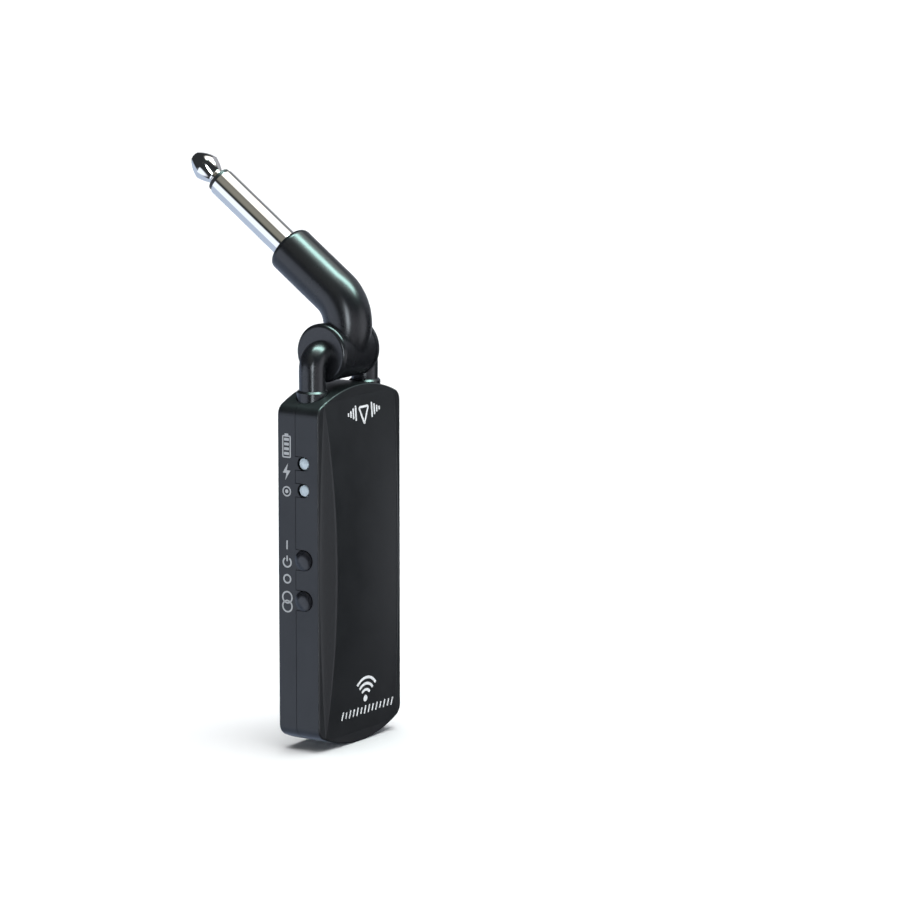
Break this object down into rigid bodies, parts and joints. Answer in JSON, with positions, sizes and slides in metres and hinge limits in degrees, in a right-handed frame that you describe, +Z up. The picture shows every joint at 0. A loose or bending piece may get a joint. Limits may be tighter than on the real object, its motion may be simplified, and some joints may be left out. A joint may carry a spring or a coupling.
{
  "type": "wireless guitar transmitter",
  "caption": "Flat battery-powered radio transmitter body that hangs on a friction hinge from a curved arm with a quarter-inch jack plug for an electric guitar.",
  "frame": {"origin": "centre of the flat rear face of the housing", "axes": "+Y out of the rear face, +Z up along the housing to the hinge, +X to the right seen from the front"},
  "size_m": [0.0328, 0.0474, 0.1295],
  "materials": {
    "shell_plastic": "black ABS, fine spark-eroded grain",
    "hinge_plastic": "black nylon, smooth satin",
    "button_plastic": "black ABS, satin gloss",
    "nickel": "polished nickel plating",
    "insulator": "black moulded nylon",
    "diffuser": "frosted pale acrylic light guide",
    "screw_steel": "black zinc plated steel",
    "spring_steel": "spring steel",
    "plated_steel": "tin plated steel sheet",
    "tinned_brass": "stamped brass",
    "cable_jacket": "black PVC jacket",
    "board_laminate": "green solder mask on glass laminate",
    "chip_resin": "moulded epoxy resin",
    "led_resin": "clear resin over phosphor",
    "antenna_ceramic": "fired ceramic",
    "cell_pouch": "aluminium laminate pouch",
    "foam_pad": "closed-cell foam"
  },
  "bodies": {
    "plug_arm": {"plug_arm": "hinge_plastic", "jack_sleeve": "nickel", "jack_inner_insulator": "insulator", "jack_insulator_ring": "insulator", "jack_tip": "nickel", "jack_tip_lug": "tinned_brass", "jack_sleeve_lug": "tinned_brass", "arm_cable": "cable_jacket"},
    "housing": {"front_cover": "shell_plastic", "rear_cover": "shell_plastic", "cover_screws": "screw_steel", "left_hinge_arm": "hinge_plastic", "right_hinge_arm": "hinge_plastic", "left_friction_washer": "spring_steel", "right_friction_washer": "spring_steel", "housing_cable": "cable_jacket", "power_switch": "chip_resin", "pair_switch": "chip_resin", "charge_led_lens": "diffuser", "id_led_lens": "diffuser", "charge_led": "led_resin", "id_led": "led_resin", "usb_socket_shell": "plated_steel", "usb_tongue": "insulator", "usb_contacts": "tinned_brass", "main_board": "board_laminate", "rf_shield_can": "plated_steel", "radio_chip": "chip_resin", "audio_chip": "chip_resin", "chip_antenna": "antenna_ceramic", "board_components": "chip_resin", "battery": "cell_pouch", "battery_pad": "foam_pad", "battery_leads": "cable_jacket"},
    "power_button": {"power_button": "button_plastic", "power_plunger": "button_plastic"},
    "pair_button": {"pair_button": "button_plastic", "pair_plunger": "button_plastic"}
  },
  "joints": [
    {"name": "plug_hinge", "type": "hinge", "parent": "plug_arm", "child": "housing", "pos_m": [0, -0.00555, 0.0477], "axis": [1, 0, 0], "range_deg": [-75, 115]},
    {"name": "power_press", "type": "slide", "parent": "housing", "child": "power_button", "axis": [1, 0, 0], "range_m": [0, 0.0004], "stiffness_N_per_m": 800},
    {"name": "pair_press", "type": "slide", "parent": "housing", "child": "pair_button", "axis": [1, 0, 0], "range_m": [0, 0.0004], "stiffness_N_per_m": 800}
  ]
}
